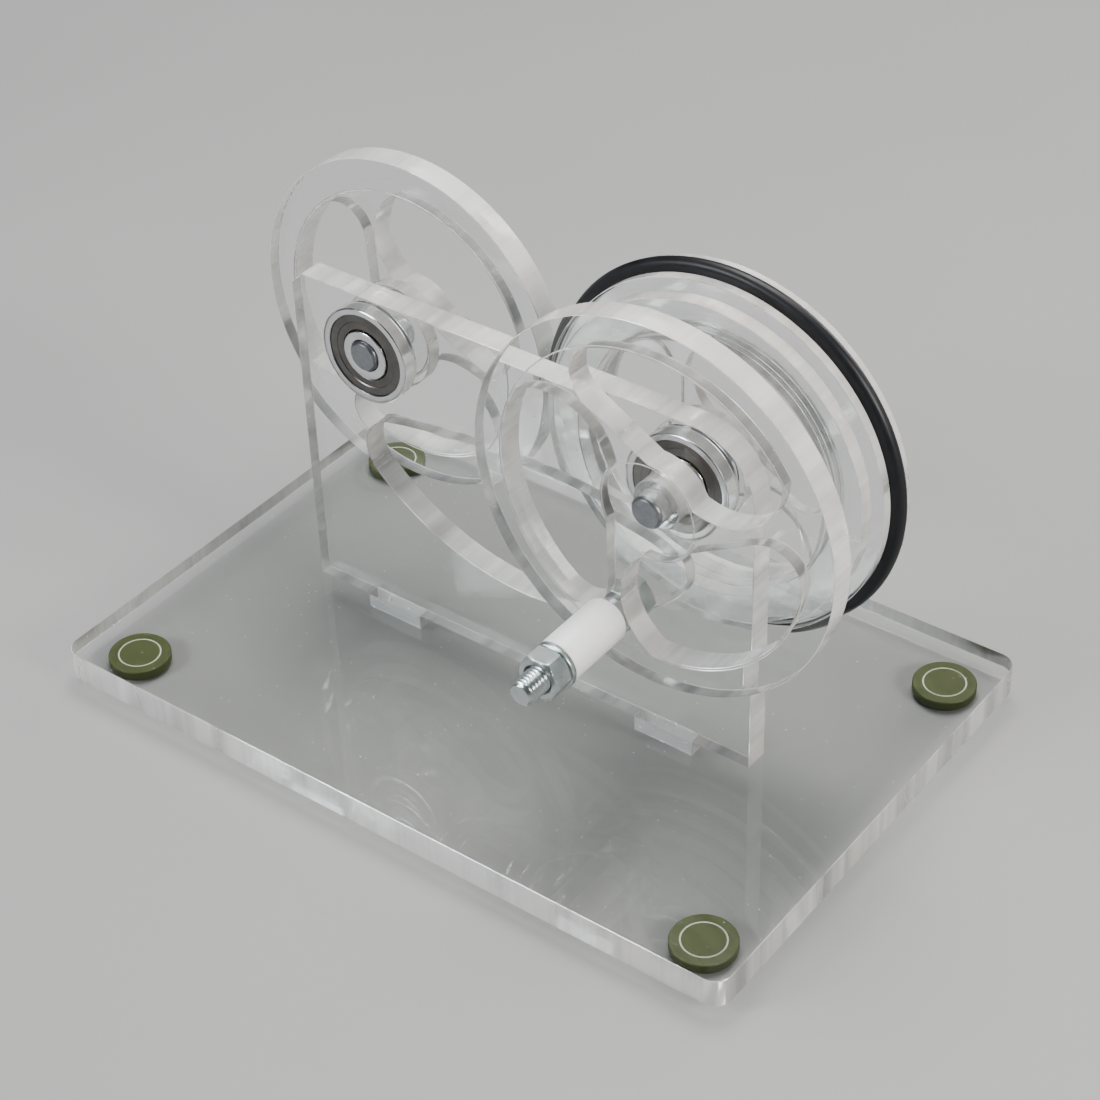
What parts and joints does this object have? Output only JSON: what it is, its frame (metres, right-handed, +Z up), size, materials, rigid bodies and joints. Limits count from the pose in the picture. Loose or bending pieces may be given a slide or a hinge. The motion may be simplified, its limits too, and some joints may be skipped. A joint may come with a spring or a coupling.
{
  "type": "hand-cranked friction drive model",
  "caption": "Clear acrylic hand-crank model: a rubber-tyred wheel behind the crank turns a second wheel on ball bearings above a rectangular base.",
  "frame": {"origin": "middle of the base plate's outline, on the surface that the feet stand on", "axes": "+X along the base plate from the plain wheel to the crank, +Y from the handle side to the tyre side, +Z up"},
  "size_m": [0.15, 0.1, 0.101],
  "materials": {
    "clear_acrylic": "clear acrylic sheet with bright laser-cut edges",
    "foot_rubber": "soft translucent olive bumper",
    "bearing_steel": "ground and polished bearing steel",
    "shield_steel": "pressed steel shield, satin",
    "ball_steel": "polished ball steel",
    "cage_brass": "pressed cage",
    "axle_steel": "ground rod with cut ends",
    "tyre_rubber": "smooth black rubber",
    "sleeve_nylon": "white nylon, satin",
    "zinc_steel": "zinc-plated steel"
  },
  "bodies": {
    "frame": {"base_plate": "clear_acrylic", "upright_plate": "clear_acrylic", "foot_front_left": "foot_rubber", "foot_front_right": "foot_rubber", "foot_back_left": "foot_rubber", "foot_back_right": "foot_rubber", "left_bearing_outer_race": "bearing_steel", "left_bearing_front_shield": "shield_steel", "left_bearing_back_shield": "shield_steel", "right_bearing_outer_race": "bearing_steel", "right_bearing_front_shield": "shield_steel", "right_bearing_back_shield": "shield_steel", "left_bearing_balls": "ball_steel", "left_bearing_cage": "cage_brass", "right_bearing_balls": "ball_steel", "right_bearing_cage": "cage_brass"},
    "crank": {"right_bearing_inner_race": "bearing_steel", "crank_axle": "axle_steel", "crank_hub_washer": "clear_acrylic", "crank_wheel": "clear_acrylic", "rear_hub_washer": "clear_acrylic", "rear_hub_disc": "clear_acrylic", "rear_front_ring": "clear_acrylic", "rear_spoked_disc": "clear_acrylic", "rear_core_ring": "clear_acrylic", "rear_tyre": "tyre_rubber", "rear_flange": "clear_acrylic", "handle_bolt": "zinc_steel", "handle_washer": "zinc_steel", "handle_nut": "zinc_steel"},
    "driven_wheel": {"left_bearing_inner_race": "bearing_steel", "left_axle": "axle_steel", "left_hub_washer": "clear_acrylic", "left_hub_disc": "clear_acrylic", "left_wheel": "clear_acrylic"},
    "handle": {"handle_sleeve": "sleeve_nylon"}
  },
  "joints": [
    {"name": "crank_spin", "type": "hinge", "parent": "frame", "child": "crank", "pos_m": [0.0352, 0, 0.0649], "axis": [0, 1, 0], "continuous": true},
    {"name": "driven_wheel_spin", "type": "hinge", "parent": "frame", "child": "driven_wheel", "pos_m": [-0.0338, 0, 0.0649], "axis": [0, 1, 0], "continuous": true},
    {"name": "handle_spin", "type": "hinge", "parent": "crank", "child": "handle", "pos_m": [0.0267, 0, 0.0387], "axis": [0, 1, 0], "continuous": true}
  ],
  "couplings": [
    {"joint": "driven_wheel_spin", "follows": "crank_spin", "ratio": -1.0723}
  ]
}
